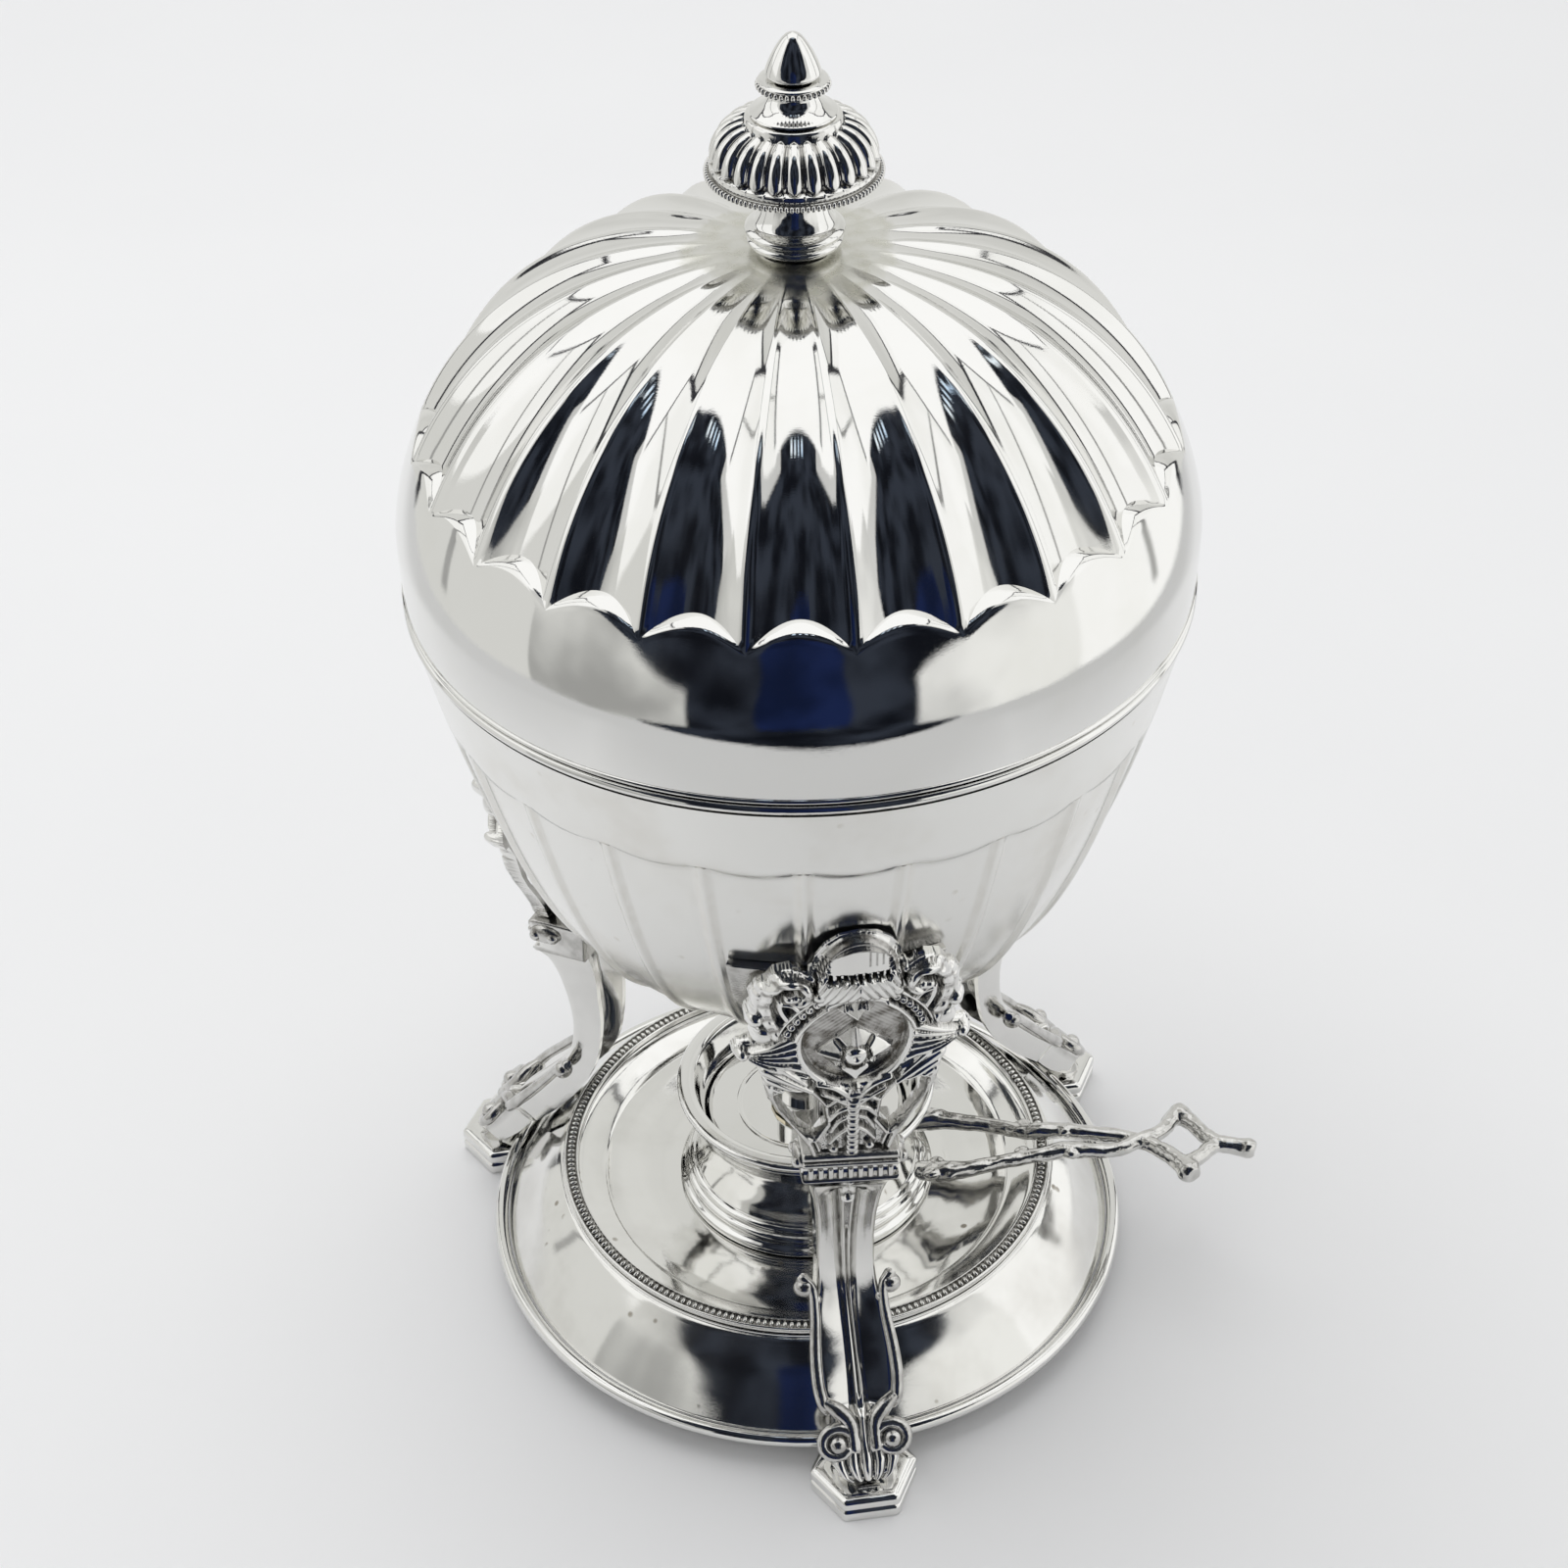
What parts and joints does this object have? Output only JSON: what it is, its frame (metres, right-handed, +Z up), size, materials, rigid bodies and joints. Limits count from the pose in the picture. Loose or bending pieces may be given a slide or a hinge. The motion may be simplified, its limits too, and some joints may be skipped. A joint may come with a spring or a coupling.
{
  "type": "egg coddler",
  "caption": "Covered egg coddler: fluted domed lid with a gadrooned finial, panelled bowl on cast scroll legs, egg rack inside, and a dished tray holding a spirit burner with a twig handle.",
  "frame": {"origin": "centre of the overall bounding box at the underside of the feet", "axes": "+Z up, the front leg towards -Y, the burner handle towards +X"},
  "size_m": [0.1496, 0.1382, 0.25],
  "materials": {
    "silver_plate": "polished silver plate",
    "cast_silver_plate": "polished silver plate on castings, darker in the hollows",
    "rack_silver_plate": "silver plate",
    "brass": "plain brass",
    "cotton_wick": "woven cotton"
  },
  "bodies": {
    "stand": {"bowl_rim": "silver_plate", "bowl_shell": "silver_plate", "foot_plinth_1": "cast_silver_plate", "foot_plinth_2": "cast_silver_plate", "foot_plinth_3": "cast_silver_plate", "leg_cartouche_1": "cast_silver_plate", "leg_cartouche_2": "cast_silver_plate", "leg_cartouche_3": "cast_silver_plate", "leg_column_1": "cast_silver_plate", "leg_column_2": "cast_silver_plate", "leg_column_3": "cast_silver_plate", "leg_lug_1": "cast_silver_plate", "leg_lug_2": "cast_silver_plate", "leg_lug_3": "cast_silver_plate", "tray_bead_ring": "cast_silver_plate", "tray_dish": "silver_plate", "tray_rim_wire": "silver_plate"},
    "lid": {"finial_bead_ring": "cast_silver_plate", "finial_bud": "silver_plate", "finial_collar": "silver_plate", "finial_foot": "silver_plate", "finial_knop": "cast_silver_plate", "finial_nut": "brass", "finial_stud": "brass", "lid_bezel": "silver_plate", "lid_shell": "silver_plate"},
    "egg_rack": {"egg_ring_1": "rack_silver_plate", "egg_ring_2": "rack_silver_plate", "egg_ring_3": "rack_silver_plate", "egg_ring_4": "rack_silver_plate", "rack_cross": "rack_silver_plate", "rack_foot_ring": "rack_silver_plate", "rack_hub": "rack_silver_plate", "rack_loop": "rack_silver_plate", "rack_stem": "rack_silver_plate"},
    "burner": {"burner_handle": "cast_silver_plate", "burner_reservoir": "silver_plate", "burner_top_plate": "silver_plate", "burner_wick": "cotton_wick", "burner_wick_tube": "brass"},
    "snuffer": {"burner_snuffer": "silver_plate"}
  },
  "joints": [
    {"name": "lid_lift", "type": "slide", "parent": "stand", "child": "lid", "axis": [0, 0, 1], "range_m": [0, 0.12]},
    {"name": "egg_rack_lift", "type": "slide", "parent": "stand", "child": "egg_rack", "axis": [0, 0, 1], "range_m": [0, 0.028]},
    {"name": "burner_lift", "type": "slide", "parent": "stand", "child": "burner", "axis": [0, 0, 1], "range_m": [0, 0.018]},
    {"name": "snuffer_lift", "type": "slide", "parent": "burner", "child": "snuffer", "axis": [0, 0, 1], "range_m": [0, 0.014]}
  ]
}
